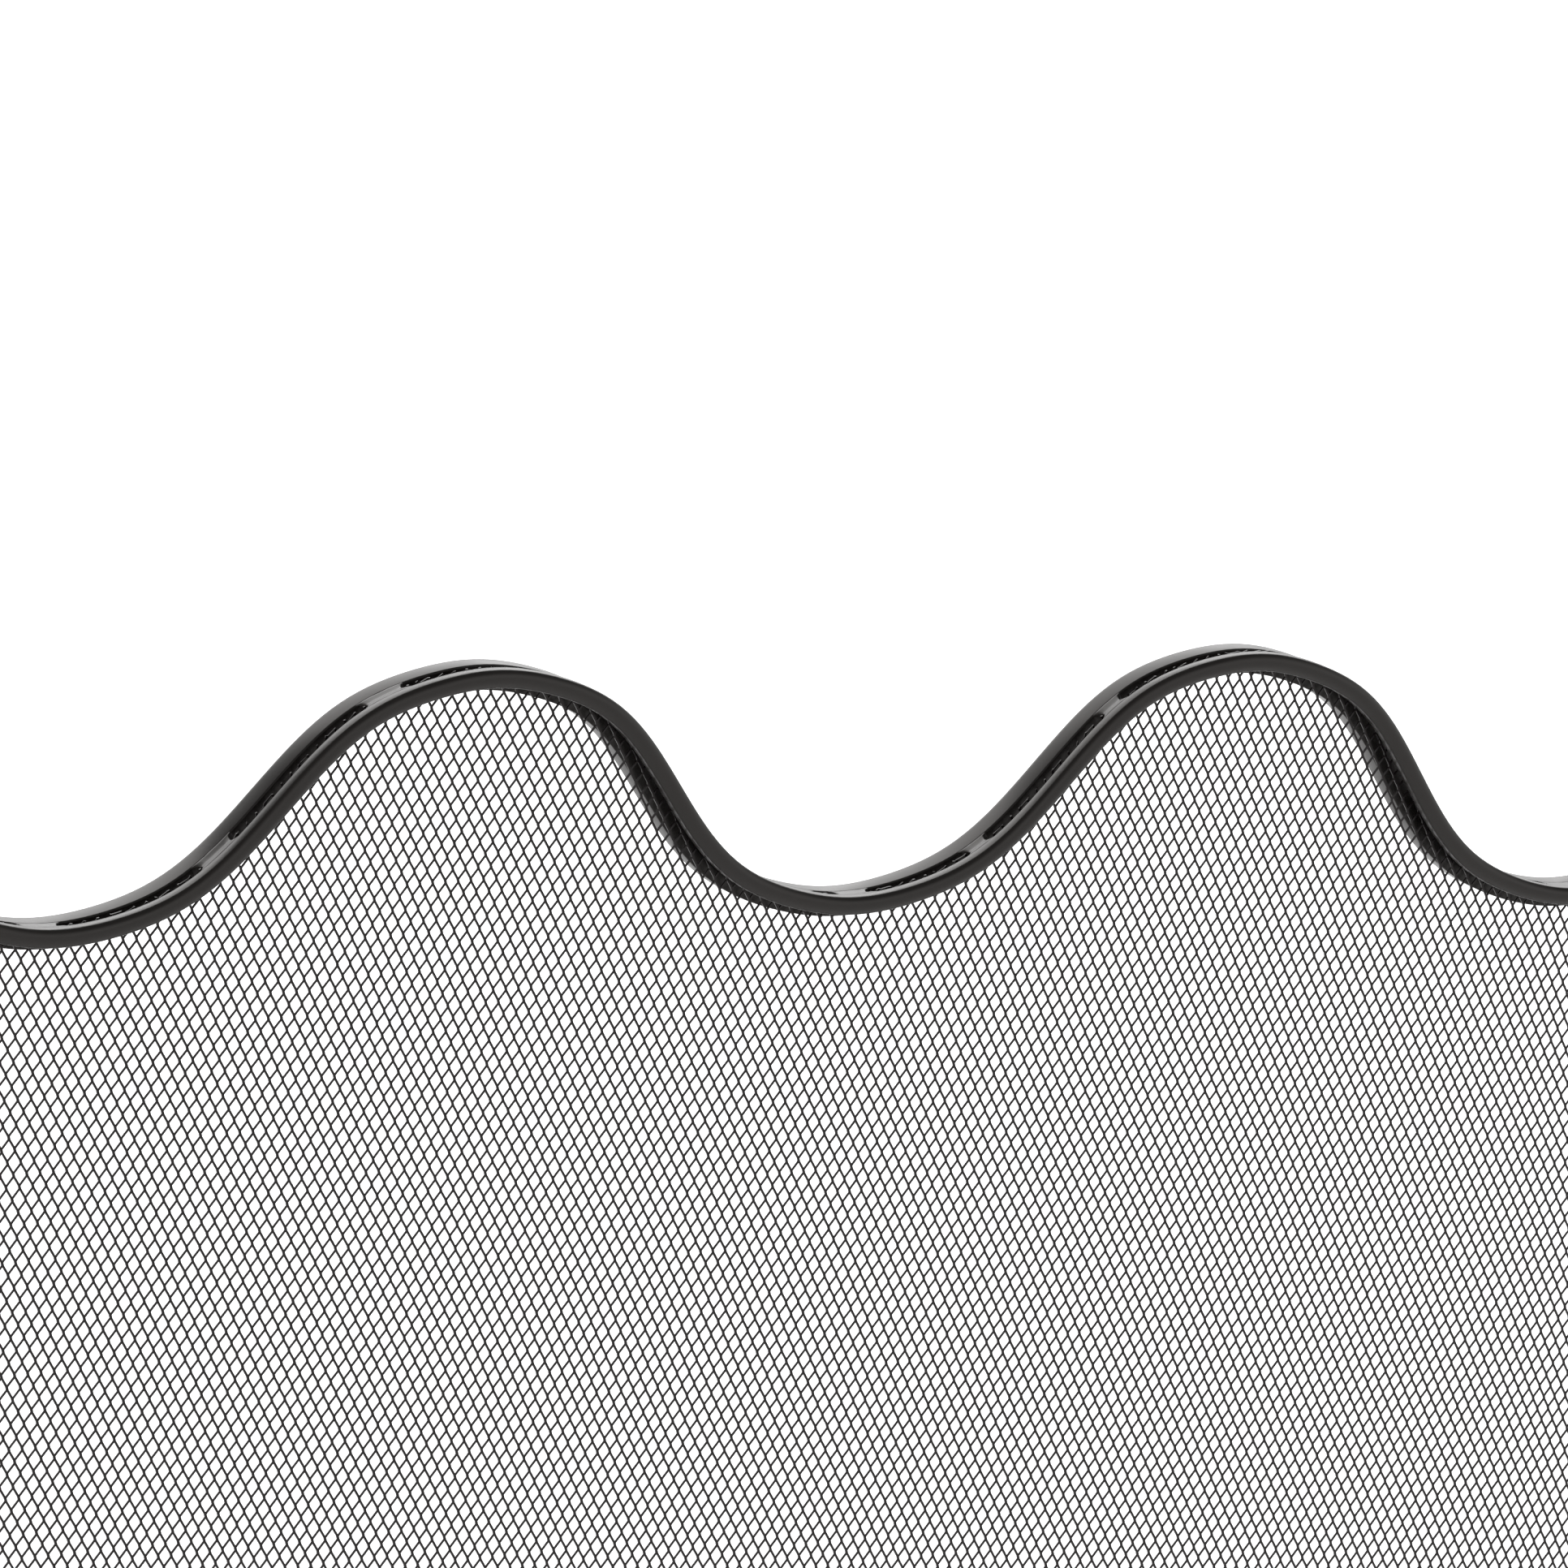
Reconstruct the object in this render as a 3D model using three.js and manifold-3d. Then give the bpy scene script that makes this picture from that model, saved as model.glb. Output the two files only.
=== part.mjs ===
// Fireplace screen with a wavy top: one flat panel of diamond mesh held between
// a slim front frame and a wider rear frame, standing on two cross feet.
// Millimetres. +X runs along the width, the front faces -Y, +Z is up, and the
// origin is on the floor under the middle of the panel.

import * as THREE from 'three';
import { mergeVertices } from 'three/addons/utils/BufferGeometryUtils.js';
import loadManifold from 'manifold-3d';

// ---- driving dimensions ------------------------------------------------------

const WIDTH = 1000;
const HEIGHT = 790;
const HUMPS = 4;
const HUMP_PITCH = WIDTH / HUMPS;

// The top edge is a main swell with two smaller ones that steepen its flanks and
// round its crests. The bars were bent by hand, so every second wave is a little
// taller than the next.
const SWELL = 35.3;
const FLANK_SWELL = 2.8;
const CREST_SWELL = 0.6;
const HAND_BEND = 1.9;
const HAND_BEND_PHASE = 0.68;
const WAVE_MIDDLE = HEIGHT - SWELL + FLANK_SWELL - CREST_SWELL - HAND_BEND;

const FRONT_BAR = { face: 5.0, depth: 3.6, inset: 0 };
const REAR_BAR = { face: 7.0, depth: 7.0, inset: 0.6, corner: 0.7 };
const FRAME_GAP = 4.8;
const BAR_CLEARANCE = 0.3;

const MESH_THICKNESS = 0.8;
const MESH_Y = -0.8;
const MESH_INSET = 4.0;

const WELD_FACE = 2.8;
const WELD_INSET = 0.8;

const BOTTOM_EDGE = 43;

const FOOT = { length: 260, width: 20, thickness: 6 };
const FOOT_TAB = { thickness: 3, top: 112 };
const PAD = { radius: 9, height: 3, inset: 16 };
const SCREW = { shank: 1.9, head: 3.6, headHeight: 2.4, heights: [68, 94] };
const SCREW_HOLE = 2.2;

const STATIONS_PER_HUMP = 24;

// ---- derived places ----------------------------------------------------------

const HALF_WIDTH = WIDTH / 2;
const FRONT_BACK_Y = -FRAME_GAP / 2;
const REAR_FRONT_Y = FRAME_GAP / 2;
const REAR_BACK_Y = REAR_FRONT_Y + REAR_BAR.depth;
const FOOT_BOTTOM = PAD.height + BAR_CLEARANCE;
const FOOT_TOP = FOOT_BOTTOM + FOOT.thickness;
const UPRIGHT_BOTTOM = FOOT_TOP + BAR_CLEARANCE;
const TAB_FRONT_Y = REAR_BACK_Y + BAR_CLEARANCE;
const TAB_BACK_Y = TAB_FRONT_Y + FOOT_TAB.thickness;

// ---- materials ---------------------------------------------------------------

const blackSteel = () => new THREE.MeshStandardMaterial({
  color: 0x2b2928, roughness: 0.45, metalness: 0.3,
});
const meshSteel = () => new THREE.MeshStandardMaterial({
  color: 0x1c1718, roughness: 0.5, metalness: 0.3,
});
const screwSteel = () => new THREE.MeshStandardMaterial({
  color: 0x36363a, roughness: 0.35, metalness: 0.8,
});
const rubber = () => new THREE.MeshStandardMaterial({
  color: 0x161616, roughness: 0.9, metalness: 0,
});

// ---- the wave ----------------------------------------------------------------

const angleAt = (x) => (2 * Math.PI * (x + HALF_WIDTH)) / HUMP_PITCH;

function waveHeight(x) {
  const a = angleAt(x);
  return WAVE_MIDDLE - SWELL * Math.cos(a) + FLANK_SWELL * Math.cos(3 * a)
    - CREST_SWELL * Math.cos(5 * a) + HAND_BEND * Math.cos(a / 2 - HAND_BEND_PHASE);
}

function waveSlope(x) {
  const a = angleAt(x);
  const perMillimetre = (2 * Math.PI) / HUMP_PITCH;
  return perMillimetre * (SWELL * Math.sin(a) - 3 * FLANK_SWELL * Math.sin(3 * a)
    + 5 * CREST_SWELL * Math.sin(5 * a)
    - (HAND_BEND / 2) * Math.sin(a / 2 - HAND_BEND_PHASE));
}

// A station is a point on the outer edge with the direction that points out.
function waveStation(x) {
  const slope = waveSlope(x);
  const length = Math.hypot(1, slope);
  return { x, z: waveHeight(x), outX: -slope / length, outZ: 1 / length };
}

function waveStations(fromX, toX, count) {
  const stations = [];
  for (let i = 0; i <= count; i += 1) {
    stations.push(waveStation(fromX + ((toX - fromX) * i) / count));
  }
  return stations;
}

const wholeWave = () => waveStations(-HALF_WIDTH, HALF_WIDTH, HUMPS * STATIONS_PER_HUMP);

const straight = (x0, z0, x1, z1, outX, outZ) => [
  { x: x0, z: z0, outX, outZ },
  { x: x1, z: z1, outX, outZ },
];

// ---- bars swept along stations -------------------------------------------------

// A section is a closed loop of [out, y] points, seen with out to the right.
function roundedSection(outer, face, yFront, yBack, corner) {
  const inner = outer - face;
  return [
    [outer - corner, yFront],
    [outer, yFront + corner],
    [outer, yBack - corner],
    [outer - corner, yBack],
    [inner + corner, yBack],
    [inner, yBack - corner],
    [inner, yFront + corner],
    [inner + corner, yFront],
  ];
}

// The front bar is flat behind and rounded in front.
function halfOvalSection() {
  const half = FRONT_BAR.face / 2;
  const points = [[0, FRONT_BACK_Y], [-FRONT_BAR.face, FRONT_BACK_Y]];
  const side = FRONT_BAR.depth * 0.64;
  const crown = FRONT_BAR.depth - side;
  const steps = 6;
  for (let i = 0; i <= steps; i += 1) {
    const a = Math.PI - (Math.PI * i) / steps;
    points.push([
      -half + half * Math.cos(a),
      FRONT_BACK_Y - side - crown * Math.sin(a),
    ]);
  }
  return points.reverse();
}

function sweep(stations, section) {
  const positions = [];
  const indices = [];
  const n = section.length;
  for (const s of stations) {
    for (const [out, y] of section) {
      positions.push(s.x + s.outX * out, y, s.z + s.outZ * out);
    }
  }
  for (let i = 0; i + 1 < stations.length; i += 1) {
    for (let j = 0; j < n; j += 1) {
      const a = i * n + j;
      const b = i * n + ((j + 1) % n);
      indices.push(a, b, b + n, a, b + n, a + n);
    }
  }
  const last = (stations.length - 1) * n;
  for (let j = 1; j + 1 < n; j += 1) {
    indices.push(0, j + 1, j);
    indices.push(last, last + j, last + j + 1);
  }
  const geometry = new THREE.BufferGeometry();
  geometry.setAttribute('position', new THREE.Float32BufferAttribute(positions, 3));
  geometry.setIndex(indices);
  return outward(geometry);
}

// Turns every triangle round when the closed shape is inside out.
function outward(geometry) {
  const p = geometry.getAttribute('position');
  const index = geometry.getIndex();
  let volume = 0;
  for (let i = 0; i < index.count; i += 3) {
    const [a, b, c] = [0, 1, 2].map(
      (k) => new THREE.Vector3().fromBufferAttribute(p, index.getX(i + k)),
    );
    volume += a.dot(b.cross(c));
  }
  if (volume < 0) {
    const turned = [];
    for (let i = 0; i < index.count; i += 3) {
      turned.push(index.getX(i), index.getX(i + 2), index.getX(i + 1));
    }
    geometry.setIndex(turned);
  }
  geometry.computeVertexNormals();
  return geometry;
}

// ---- boolean helper ------------------------------------------------------------

const { Manifold, Mesh } = await (async () => {
  const library = await loadManifold();
  library.setup();
  return library;
})();

function toManifold(geometry) {
  const bare = geometry.clone();
  bare.deleteAttribute('normal');
  bare.deleteAttribute('uv');
  const merged = mergeVertices(bare, 1e-4);
  return new Manifold(new Mesh({
    numProp: 3,
    vertProperties: new Float32Array(merged.getAttribute('position').array),
    triVerts: new Uint32Array(merged.getIndex().array),
  }));
}

function fromManifold(solid) {
  const mesh = solid.getMesh();
  const geometry = new THREE.BufferGeometry();
  geometry.setAttribute('position', new THREE.BufferAttribute(mesh.vertProperties, 3));
  geometry.setIndex(new THREE.BufferAttribute(mesh.triVerts, 1));
  geometry.computeVertexNormals();
  return geometry;
}

function drillAlongY(geometry, x, heights, radius) {
  let solid = toManifold(geometry);
  for (const z of heights) {
    const drill = new THREE.CylinderGeometry(radius, radius, 60, 20);
    drill.translate(x, 0, z);
    solid = solid.subtract(toManifold(drill));
  }
  return fromManifold(solid);
}

// ---- group ---------------------------------------------------------------------

const screen = new THREE.Group();
screen.name = 'fireplace_screen';

function add(name, geometry, material) {
  const mesh = new THREE.Mesh(geometry, material);
  mesh.name = name;
  screen.add(mesh);
  return mesh;
}

const SIDES = [
  { name: 'left', sign: -1 },
  { name: 'right', sign: 1 },
];

// ---- front and rear frames -------------------------------------------------------

const frontSection = halfOvalSection();
const rearSection = roundedSection(
  -REAR_BAR.inset, REAR_BAR.face, REAR_FRONT_Y, REAR_BACK_Y, REAR_BAR.corner,
);
const screwX = HALF_WIDTH - REAR_BAR.inset - REAR_BAR.face / 2;

// Each frame is a wavy top bar that lies over two uprights, with a bottom bar
// between them. The inset brings the rear frame in from the front one.
function addFrame(prefix, section, bar) {
  const reach = bar.inset + bar.face + BAR_CLEARANCE;
  const outerEnd = HALF_WIDTH - bar.inset;
  const top = waveStations(-outerEnd, outerEnd, HUMPS * STATIONS_PER_HUMP);
  add(`${prefix}_top_bar`, sweep(top, section), blackSteel());
  const uprightTop = waveHeight(HALF_WIDTH) - reach - BAR_CLEARANCE;
  for (const { name, sign } of SIDES) {
    const x = sign * HALF_WIDTH;
    const upright = sweep(straight(x, UPRIGHT_BOTTOM, x, uprightTop, sign, 0), section);
    const drilled = prefix === 'rear'
      ? drillAlongY(upright, sign * screwX, SCREW.heights, SCREW_HOLE)
      : upright;
    add(`${prefix}_upright_${name}`, drilled, blackSteel());
  }
  const inner = HALF_WIDTH - reach;
  const bottom = straight(-inner, BOTTOM_EDGE, inner, BOTTOM_EDGE, 0, -1);
  add(`${prefix}_bottom_bar`, sweep(bottom, section), blackSteel());
}

addFrame('front', frontSection, FRONT_BAR);
addFrame('rear', rearSection, REAR_BAR);

// ---- mesh panel ------------------------------------------------------------------

// One flat sheet stands for the diamond mesh. It reaches in
// between the two frames and stops short of the welds.
function meshPanel() {
  const outline = new THREE.Shape();
  const side = HALF_WIDTH - MESH_INSET;
  const bottom = BOTTOM_EDGE + MESH_INSET;
  outline.moveTo(-side, bottom);
  outline.lineTo(side, bottom);
  for (const s of wholeWave().reverse()) {
    const x = THREE.MathUtils.clamp(s.x - s.outX * MESH_INSET, -side, side);
    outline.lineTo(x, s.z - s.outZ * MESH_INSET);
  }
  const sheet = new THREE.ExtrudeGeometry(outline, {
    depth: MESH_THICKNESS, bevelEnabled: false,
  });
  sheet.rotateX(Math.PI / 2);
  sheet.translate(0, MESH_Y + MESH_THICKNESS / 2, 0);
  return fromManifold(toManifold(sheet));
}

add('mesh_panel', meshPanel(), meshSteel());

// ---- welds that bridge the two frames -----------------------------------------------

// Places of the top welds over the two middle waves, counted in humps from the
// valley where they begin, and their lengths. They were set by hand and are not
// quite even. The outer waves repeat them.
const TOP_WELDS = [
  { at: 0.00, length: 10 },
  { at: 0.19, length: 7.5 },
  { at: 0.37, length: 10.5 },
  { at: 0.61, length: 8 },
  { at: 0.83, length: 9 },
  { at: 0.95, length: 5 },
  { at: 1.01, length: 9 },
  { at: 1.16, length: 4 },
  { at: 1.31, length: 4.5 },
  { at: 1.58, length: 8.5 },
  { at: 1.80, length: 7 },
];
const WELD_PATTERN = 2;
const FIRST_VALLEY = -HUMP_PITCH;
const WELD_END_MARGIN = 10;

const weldSection = roundedSection(
  -WELD_INSET, WELD_FACE, FRONT_BACK_Y + BAR_CLEARANCE, REAR_FRONT_Y - BAR_CLEARANCE, 0.5,
);

function topWeld({ x, length }) {
  const across = length / Math.hypot(1, waveSlope(x));
  return sweep(waveStations(x - across / 2, x + across / 2, 4), weldSection);
}

const topWelds = [];
for (const repeat of [-1, 0, 1]) {
  for (const { at, length } of TOP_WELDS) {
    const x = FIRST_VALLEY + (at + repeat * WELD_PATTERN) * HUMP_PITCH;
    if (Math.abs(x) < HALF_WIDTH - WELD_END_MARGIN) topWelds.push({ x, length });
  }
}
topWelds.forEach((weld, i) => {
  const number = String(i + 1).padStart(2, '0');
  add(`top_weld_${number}`, topWeld(weld), blackSteel());
});

const SIDE_WELD_HEIGHTS = [170, 380, 590];
const SIDE_WELD_LENGTH = 10;
for (const { name, sign } of SIDES) {
  SIDE_WELD_HEIGHTS.forEach((z, i) => {
    const x = sign * HALF_WIDTH;
    const ends = straight(x, z - SIDE_WELD_LENGTH / 2, x, z + SIDE_WELD_LENGTH / 2, sign, 0);
    add(`side_weld_${name}_${i + 1}`, sweep(ends, weldSection), blackSteel());
  });
}

const BOTTOM_WELD_COUNT = 5;
const BOTTOM_WELD_LENGTH = 10;
for (let i = 0; i < BOTTOM_WELD_COUNT; i += 1) {
  const x = ((i + 0.5) / BOTTOM_WELD_COUNT - 0.5) * WIDTH;
  const ends = straight(
    x - BOTTOM_WELD_LENGTH / 2, BOTTOM_EDGE, x + BOTTOM_WELD_LENGTH / 2, BOTTOM_EDGE, 0, -1,
  );
  add(`bottom_weld_${i + 1}`, sweep(ends, weldSection), blackSteel());
}

// ---- feet, pads and screws -----------------------------------------------------------

function footProfile() {
  const end = FOOT.length / 2;
  const shape = new THREE.Shape();
  shape.moveTo(-end, FOOT_BOTTOM);
  shape.lineTo(end, FOOT_BOTTOM);
  shape.lineTo(end, FOOT_TOP);
  shape.lineTo(TAB_BACK_Y, FOOT_TOP);
  shape.lineTo(TAB_BACK_Y, FOOT_TAB.top);
  shape.lineTo(TAB_FRONT_Y, FOOT_TAB.top);
  shape.lineTo(TAB_FRONT_Y, FOOT_TOP);
  shape.lineTo(-end, FOOT_TOP);
  shape.closePath();
  return shape;
}

// The profile is drawn in Y and Z and pushed along X.
function foot(sign) {
  const solid = new THREE.ExtrudeGeometry(footProfile(), {
    depth: FOOT.width, bevelEnabled: false,
  });
  solid.rotateX(Math.PI / 2);
  solid.rotateZ(Math.PI / 2);
  const innerSide = sign > 0 ? HALF_WIDTH - FOOT.width : -HALF_WIDTH;
  solid.translate(innerSide, 0, 0);
  return drillAlongY(solid, sign * screwX, SCREW.heights, SCREW_HOLE);
}

function padGeometry() {
  const edge = 0.8;
  const profile = [
    [0, 0],
    [PAD.radius - edge, 0],
    [PAD.radius, edge],
    [PAD.radius, PAD.height],
    [0, PAD.height],
  ].map(([r, z]) => new THREE.Vector2(r, z));
  const pad = new THREE.LatheGeometry(profile, 24);
  pad.rotateX(Math.PI / 2);
  return fromManifold(toManifold(pad));
}

function screwGeometry() {
  const underHead = TAB_BACK_Y + BAR_CLEARANCE;
  const tip = REAR_FRONT_Y + 0.4;
  const profile = [
    [0, tip],
    [SCREW.shank, tip],
    [SCREW.shank, underHead],
    [SCREW.head, underHead],
    [SCREW.head, underHead + SCREW.headHeight * 0.4],
    [SCREW.head * 0.8, underHead + SCREW.headHeight * 0.8],
    [SCREW.head * 0.4, underHead + SCREW.headHeight],
    [0, underHead + SCREW.headHeight],
  ].map(([r, y]) => new THREE.Vector2(r, y));
  return fromManifold(toManifold(new THREE.LatheGeometry(profile, 20)));
}

for (const { name, sign } of SIDES) {
  add(`foot_${name}`, foot(sign), blackSteel());
  const middle = sign * (HALF_WIDTH - FOOT.width / 2);
  for (const [end, direction] of [['front', -1], ['rear', 1]]) {
    const pad = add(`foot_pad_${name}_${end}`, padGeometry(), rubber());
    pad.position.set(middle, direction * (FOOT.length / 2 - PAD.inset), 0);
  }
  SCREW.heights.forEach((z, i) => {
    const screw = add(`foot_screw_${name}_${i + 1}`, screwGeometry(), screwSteel());
    screw.position.set(sign * screwX, 0, z);
  });
}

export default screen;
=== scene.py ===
"""Fireplace screen with a wavy top: diamond mesh in a double black steel frame on two feet."""

import math

import bmesh
import bpy
import numpy as np
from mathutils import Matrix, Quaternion, Vector


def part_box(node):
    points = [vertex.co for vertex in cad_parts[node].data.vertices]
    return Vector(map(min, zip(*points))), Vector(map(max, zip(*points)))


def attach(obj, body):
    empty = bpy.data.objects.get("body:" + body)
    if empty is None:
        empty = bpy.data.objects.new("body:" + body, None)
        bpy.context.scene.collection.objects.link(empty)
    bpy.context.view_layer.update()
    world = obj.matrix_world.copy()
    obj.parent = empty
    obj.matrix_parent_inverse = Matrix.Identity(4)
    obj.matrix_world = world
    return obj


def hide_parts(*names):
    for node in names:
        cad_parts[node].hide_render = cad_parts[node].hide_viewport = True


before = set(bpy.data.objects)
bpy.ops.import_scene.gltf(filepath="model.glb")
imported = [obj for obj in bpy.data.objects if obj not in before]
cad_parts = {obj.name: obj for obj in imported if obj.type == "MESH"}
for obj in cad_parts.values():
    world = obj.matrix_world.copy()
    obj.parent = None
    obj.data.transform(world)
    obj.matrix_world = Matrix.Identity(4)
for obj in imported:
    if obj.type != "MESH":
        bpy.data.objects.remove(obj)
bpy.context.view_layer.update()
bpy.ops.object.select_all(action="DESELECT")

MM = 0.001

# ---- sizes that come from the frame ----

FRONT_LOW, FRONT_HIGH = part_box("front_bottom_bar")
REAR_LOW, REAR_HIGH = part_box("rear_bottom_bar")
TOP_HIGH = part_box("front_top_bar")[1]
REAR_TOP_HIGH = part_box("rear_top_bar")[1]
SHEET_LOW, SHEET_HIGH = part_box("mesh_panel")

HALF_WIDTH = TOP_HIGH.x
FRONT_FACE = FRONT_HIGH.z - FRONT_LOW.z
REAR_FACE = REAR_HIGH.z - REAR_LOW.z
REAR_INSET = TOP_HIGH.x - REAR_TOP_HIGH.x
GAP = REAR_LOW.y - FRONT_HIGH.y
BOTTOM_EDGE = FRONT_LOW.z

# ---- the wave of the top edge, as the frame has it ----

HUMP_PITCH = 2 * HALF_WIDTH / 4
SWELL = 35.3 * MM
FLANK_SWELL = 2.8 * MM
CREST_SWELL = 0.6 * MM
HAND_BEND = 1.9 * MM
HAND_BEND_PHASE = 0.68
WAVE_MIDDLE = 755.0 * MM

WAVE_STEPS = 1600


def wave_height(x):
    """Height of the frame's outer edge over a place along the width."""
    a = 2 * np.pi * (x + HALF_WIDTH) / HUMP_PITCH
    return (
        WAVE_MIDDLE
        - SWELL * np.cos(a)
        + FLANK_SWELL * np.cos(3 * a)
        - CREST_SWELL * np.cos(5 * a)
        + HAND_BEND * np.cos(a / 2 - HAND_BEND_PHASE)
    )


WAVE_X = np.linspace(-HALF_WIDTH, HALF_WIDTH, WAVE_STEPS + 1)
WAVE_Z = wave_height(WAVE_X)
WAVE_WAY = np.concatenate([[0.0], np.cumsum(np.hypot(np.diff(WAVE_X), np.diff(WAVE_Z)))])
WAVE_LENGTH = float(WAVE_WAY[-1])


def way_along(x):
    """Length of bar from the left end of the wave to a place along the width."""
    return float(np.interp(x, WAVE_X, WAVE_WAY))


def draw_wave_line():
    """A curve on the outer edge, which the straight pieces are bent along."""
    line = bpy.data.curves.new("wave_line", "CURVE")
    line.dimensions = "3D"
    line.twist_mode = "Z_UP"
    spline = line.splines.new("POLY")
    spline.points.add(WAVE_STEPS)
    for point, x, z in zip(spline.points, WAVE_X, WAVE_Z):
        point.co = (x, 0.0, z, 1.0)
    guide = bpy.data.objects.new("wave_line", line)
    bpy.context.scene.collection.objects.link(guide)
    return guide


# ---- bench tools ----


def make_active(piece):
    bpy.ops.object.select_all(action="DESELECT")
    piece.select_set(True)
    bpy.context.view_layer.objects.active = piece


def settle(piece):
    """Puts the piece's place, turn and size into its mesh."""
    make_active(piece)
    bpy.ops.object.transform_apply(location=True, rotation=True, scale=True)


def block(name, low, high):
    """A plain block between two corners, to be shaped."""
    bpy.ops.object.select_all(action="DESELECT")
    bpy.ops.mesh.primitive_cube_add(size=1, location=(Vector(low) + Vector(high)) / 2)
    piece = bpy.context.object
    piece.name = name
    piece.data.name = name
    piece.scale = Vector(high) - Vector(low)
    settle(piece)
    return piece


def disc(name, radius, depth, middle, sides, turn=(0, 0, 0)):
    bpy.ops.object.select_all(action="DESELECT")
    bpy.ops.mesh.primitive_cylinder_add(
        vertices=sides, radius=radius, depth=depth, location=middle, rotation=turn
    )
    piece = bpy.context.object
    piece.name = name
    piece.data.name = name
    settle(piece)
    return piece


def open_and_pick(piece, kind, wanted):
    """Opens the piece for editing with only the wanted faces, edges or corners selected."""
    make_active(piece)
    bpy.ops.object.mode_set(mode="EDIT")
    bpy.ops.mesh.select_mode(type=kind)
    bpy.ops.mesh.select_all(action="DESELECT")
    shape = bmesh.from_edit_mesh(piece.data)
    parts = {"FACE": shape.faces, "EDGE": shape.edges, "VERT": shape.verts}[kind]
    for part in parts:
        if wanted(part):
            part.select_set(True)
    bmesh.update_edit_mesh(piece.data)


def close():
    bpy.ops.object.mode_set(mode="OBJECT")


def runs_along(edge, axis):
    step = edge.verts[1].co - edge.verts[0].co
    return abs(step[axis]) > 0.95 * step.length


def middle_of(edge):
    return (edge.verts[0].co + edge.verts[1].co) / 2


def round_edges(piece, wanted, offset, segments):
    open_and_pick(piece, "EDGE", wanted)
    bpy.ops.mesh.bevel(offset=offset, segments=segments, affect="EDGES", clamp_overlap=True)
    close()


def divide_along(piece, axis, cuts):
    open_and_pick(piece, "EDGE", lambda edge: runs_along(edge, axis))
    bpy.ops.mesh.subdivide(number_cuts=cuts)
    close()


def apply(piece, kind, **values):
    modifier = piece.modifiers.new(kind.lower(), kind)
    for key, value in values.items():
        setattr(modifier, key, value)
    make_active(piece)
    bpy.ops.object.modifier_apply(modifier=modifier.name)


def smooth(piece, angle=40):
    make_active(piece)
    bpy.ops.object.shade_smooth_by_angle(angle=math.radians(angle))


def copy_of(piece, name):
    twin = piece.copy()
    twin.data = piece.data.copy()
    twin.name = name
    twin.data.name = name
    bpy.context.scene.collection.objects.link(twin)
    return twin


def discard(piece):
    bpy.data.objects.remove(piece)


def fit_to_frame(piece, material, slot, *nodes):
    """Finish for a piece that takes the place of plain CAD nodes."""
    piece.data.materials.clear()
    piece.data.materials.append(material)
    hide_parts(*nodes)
    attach(piece, "root")


# ---- shader groups ----


class Nodes:
    """Short way to place and join nodes in one tree."""

    def __init__(self, tree):
        self.tree = tree

    def add(self, kind, inputs=None, **settings):
        node = self.tree.nodes.new(kind)
        for key, value in settings.items():
            setattr(node, key, value)
        for key, value in (inputs or {}).items():
            if isinstance(value, bpy.types.NodeSocket):
                self.tree.links.new(value, node.inputs[key])
            else:
                node.inputs[key].default_value = value
        return node


def new_group(name, inputs, outputs):
    group = bpy.data.node_groups.new(name, "ShaderNodeTree")
    for label, value in inputs.items():
        socket = group.interface.new_socket(label, in_out="INPUT", socket_type="NodeSocketFloat")
        socket.default_value = value
    for label in outputs:
        group.interface.new_socket(label, in_out="OUTPUT", socket_type="NodeSocketFloat")
    nodes = Nodes(group)
    return group, nodes, nodes.add("NodeGroupInput"), nodes.add("NodeGroupOutput")


def sprayed_coat_group():
    """Soft orange peel with finer grain, broad mottling and a few specks."""
    group, nodes, given, result = new_group(
        "sprayed_coat",
        {"Peel Scale": 700.0, "Grain Amount": 0.25, "Mottle Scale": 30.0},
        ("Height", "Mottle", "Specks"),
    )
    place = nodes.add("ShaderNodeTexCoord").outputs["Object"]
    peel = nodes.add(
        "ShaderNodeTexNoise",
        {"Vector": place, "Scale": given.outputs["Peel Scale"], "Detail": 2.0, "Roughness": 0.45},
    )
    grain_scale = nodes.add(
        "ShaderNodeMath", {0: given.outputs["Peel Scale"], 1: 4.5}, operation="MULTIPLY"
    )
    grain = nodes.add(
        "ShaderNodeTexNoise", {"Vector": place, "Scale": grain_scale.outputs[0], "Detail": 3.0}
    )
    weighted = nodes.add(
        "ShaderNodeMath",
        {0: grain.outputs["Fac"], 1: given.outputs["Grain Amount"]},
        operation="MULTIPLY",
    )
    height = nodes.add(
        "ShaderNodeMath", {0: peel.outputs["Fac"], 1: weighted.outputs[0]}, operation="ADD"
    )
    mottle = nodes.add(
        "ShaderNodeTexNoise",
        {"Vector": place, "Scale": given.outputs["Mottle Scale"], "Detail": 4.0, "Roughness": 0.6},
    )
    dots = nodes.add(
        "ShaderNodeTexVoronoi", {"Vector": place, "Scale": 260.0, "Randomness": 1.0}
    )
    near = nodes.add(
        "ShaderNodeMapRange",
        {
            "Value": dots.outputs["Distance"],
            "From Min": 0.05,
            "From Max": 0.11,
            "To Min": 1.0,
            "To Max": 0.0,
        },
    )
    tree = group.links
    tree.new(height.outputs[0], result.inputs["Height"])
    tree.new(mottle.outputs["Fac"], result.inputs["Mottle"])
    tree.new(near.outputs["Result"], result.inputs["Specks"])
    return group


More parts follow.
